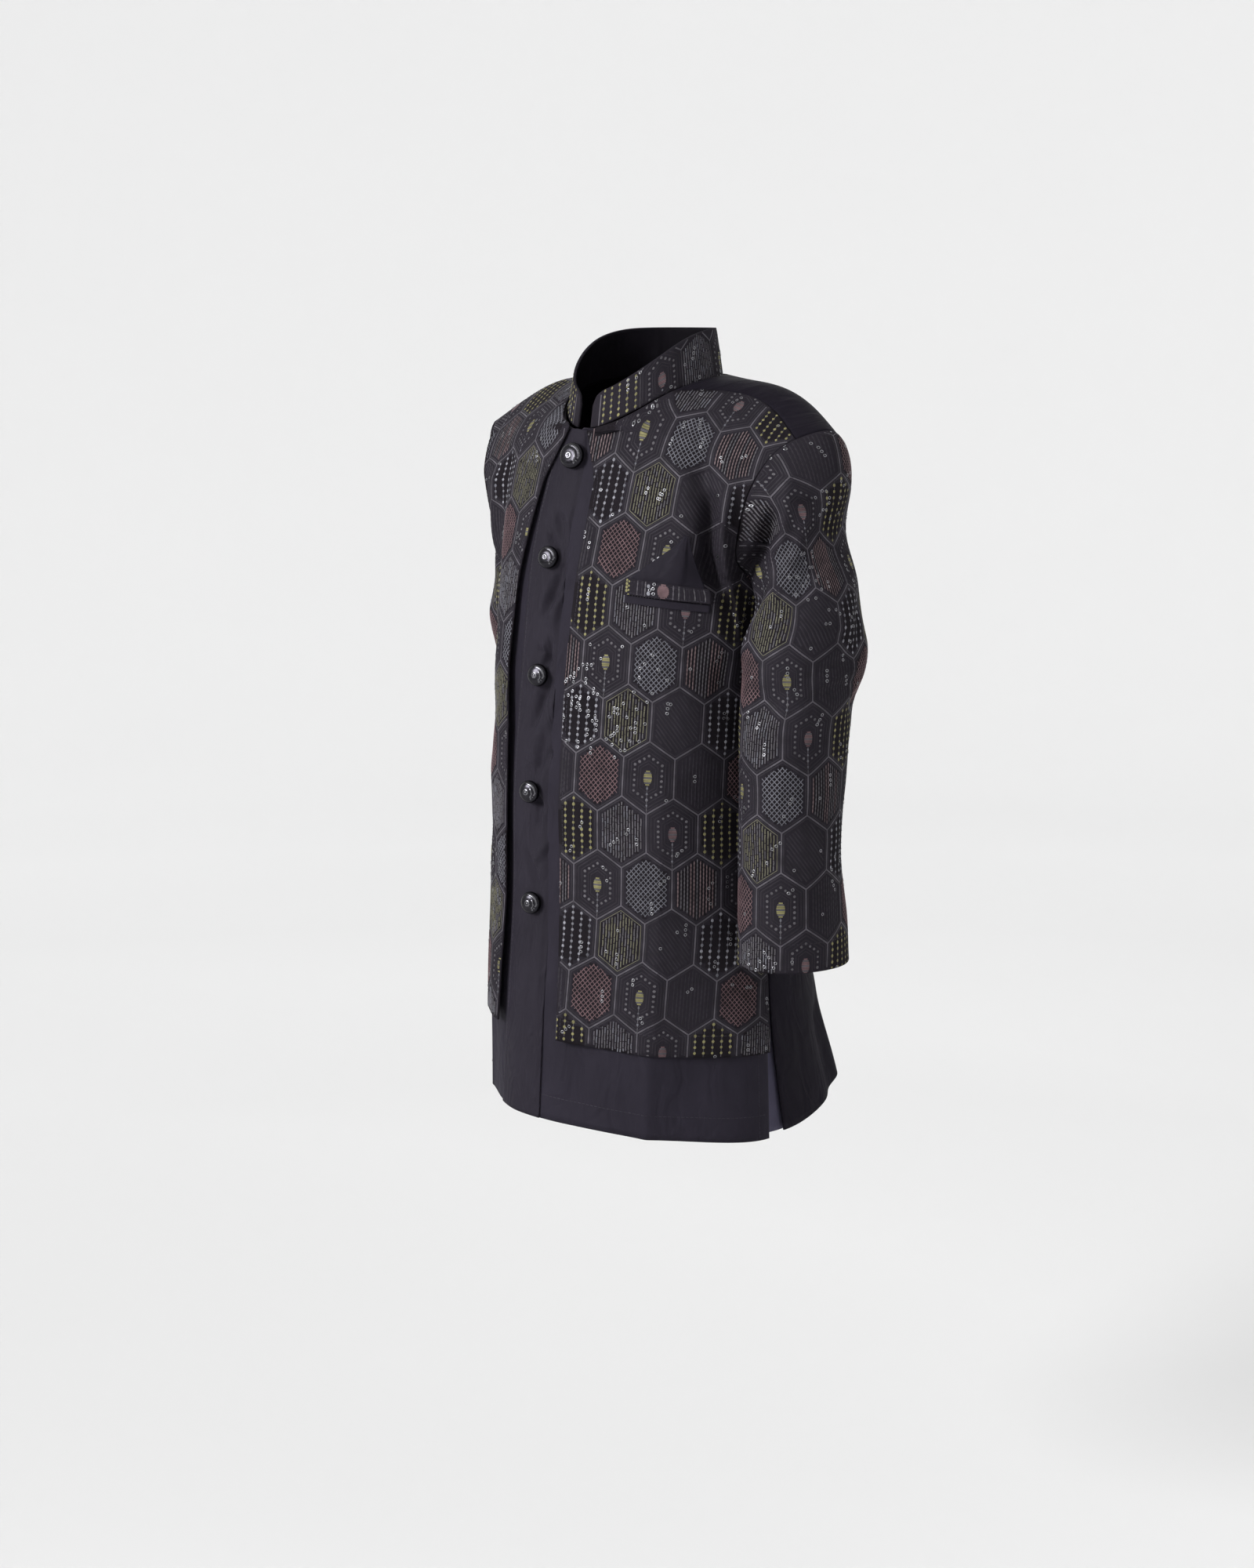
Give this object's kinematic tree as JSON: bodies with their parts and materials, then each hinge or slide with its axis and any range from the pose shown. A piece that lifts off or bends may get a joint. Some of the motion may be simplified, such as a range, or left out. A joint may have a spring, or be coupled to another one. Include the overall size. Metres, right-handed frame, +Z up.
{
  "type": "sherwani",
  "caption": "Child's sherwani: plain kurta with buttoned placket under open embroidered jacket fronts, stand collar, long sleeves, chest pocket and side slits.",
  "frame": {"origin": "centre of the neck opening, level with the sides of the neck, where the wearer holds the garment up", "axes": "+Z up along the wearer, -Y the front, +X the wearer's left"},
  "size_m": [0.4074, 0.256, 0.6012],
  "materials": {
    "kurta_front_left": "plain cloth with a faint sheen",
    "kurta_front_right": "plain cloth with a faint sheen",
    "kurta_placket": "plain cloth with a faint sheen",
    "jacket_front_left": "matt cloth with hexagon embroidery and sequins",
    "jacket_front_right": "matt cloth with hexagon embroidery and sequins",
    "back": "plain cloth with a faint sheen",
    "sleeve_left": "matt cloth with hexagon embroidery and sequins",
    "sleeve_right": "matt cloth with hexagon embroidery and sequins",
    "collar": "embroidered cloth outside, plain inside",
    "pocket_welt": "embroidered cloth",
    "pocket_band": "plain cloth with a faint sheen",
    "pocket_square": "plain cloth with a faint sheen",
    "slit_facing_left": "plain pale lilac lining",
    "slit_facing_right": "plain pale lilac lining",
    "button_1": "dark polished metal, domed, with an engraved ring",
    "button_2": "dark polished metal, domed, with an engraved ring",
    "button_3": "dark polished metal, domed, with an engraved ring",
    "button_4": "dark polished metal, domed, with an engraved ring",
    "button_5": "dark polished metal, domed, with an engraved ring"
  },
  "bodies": {
    "root": {"kurta_front_left": "kurta_front_left", "kurta_front_right": "kurta_front_right", "kurta_placket": "kurta_placket", "jacket_front_left": "jacket_front_left", "jacket_front_right": "jacket_front_right", "back": "back", "sleeve_left": "sleeve_left", "sleeve_right": "sleeve_right", "collar": "collar", "pocket_welt": "pocket_welt", "pocket_band": "pocket_band", "pocket_square": "pocket_square", "slit_facing_left": "slit_facing_left", "slit_facing_right": "slit_facing_right", "button_1": "button_1", "button_2": "button_2", "button_3": "button_3", "button_4": "button_4", "button_5": "button_5"}
  },
  "joints": []
}
